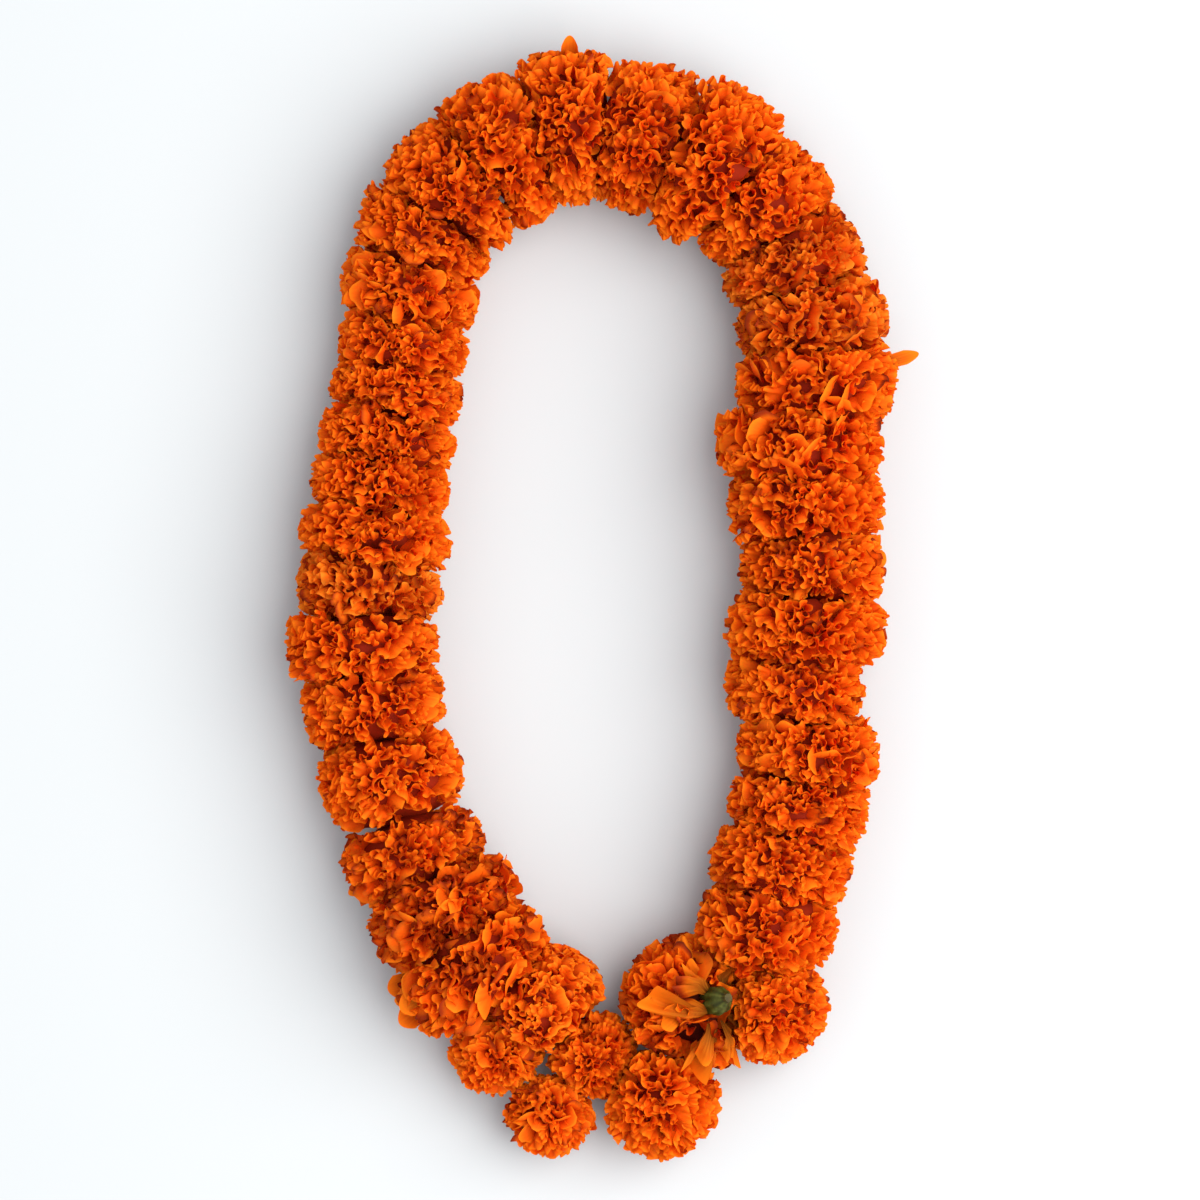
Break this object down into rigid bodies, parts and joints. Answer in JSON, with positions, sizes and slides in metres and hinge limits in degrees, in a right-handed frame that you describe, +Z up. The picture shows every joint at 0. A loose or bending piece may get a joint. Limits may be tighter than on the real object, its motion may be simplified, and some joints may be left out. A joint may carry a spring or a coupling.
{
  "type": "marigold garland",
  "caption": "Closed loop garland of ruffled orange marigold heads strung on cotton thread, lying flat, to hang round a neck, door or picture.",
  "frame": {"origin": "middle of the garland's outline in plan, on the surface that it lies on", "axes": "+Z up from the surface, +Y along the loop's length towards the knot, +X across it"},
  "size_m": [0.2854, 0.5056, 0.073],
  "materials": {
    "petal_orange": "matt fresh petals, deep orange with darker folds",
    "petal_amber": "matt petals, a little withered, amber orange",
    "calyx_green": "matt green, ribbed lengthwise",
    "thread_cotton": "undyed twisted cotton"
  },
  "bodies": {
    "root": {"bloom_left_01": "petal_orange", "bloom_left_02": "petal_orange", "bloom_left_03": "petal_orange", "bloom_left_04": "petal_orange", "bloom_left_05": "petal_orange", "bloom_left_06": "petal_orange", "bloom_left_07": "petal_orange", "bloom_left_08": "petal_orange", "bloom_left_09": "petal_orange", "bloom_left_10": "petal_orange", "bloom_left_11": "petal_amber", "bloom_left_12": "petal_orange", "bloom_left_13": "petal_orange", "bloom_left_14": "petal_orange", "bloom_left_15": "petal_orange", "bloom_left_16": "petal_orange", "bloom_left_17": "petal_orange", "bloom_left_18": "petal_orange", "bloom_left_19": "petal_orange", "bloom_left_20": "petal_orange", "bloom_left_21": "petal_orange", "bloom_right_01": "petal_orange", "bloom_right_02": "petal_orange", "bloom_right_03": "petal_orange", "bloom_right_04": "petal_amber", "bloom_right_05": "petal_amber", "bloom_right_06": "petal_orange", "bloom_right_07": "petal_orange", "bloom_right_08": "petal_orange", "bloom_right_09": "petal_orange", "bloom_right_10": "petal_orange", "bloom_right_11": "petal_orange", "bloom_right_12": "petal_orange", "bloom_right_13": "petal_orange", "bloom_right_14": "petal_orange", "bloom_right_15": "petal_orange", "bloom_right_16": "petal_orange", "bloom_right_17": "petal_orange", "bloom_right_18": "petal_orange", "calyx_left_01": "calyx_green", "calyx_left_15": "calyx_green", "calyx_left_19": "calyx_green", "calyx_left_20": "calyx_green", "calyx_left_21": "calyx_green", "calyx_right_01": "calyx_green", "calyx_right_16": "calyx_green", "calyx_right_17": "calyx_green", "calyx_right_18": "calyx_green", "thread": "thread_cotton"}
  },
  "joints": []
}
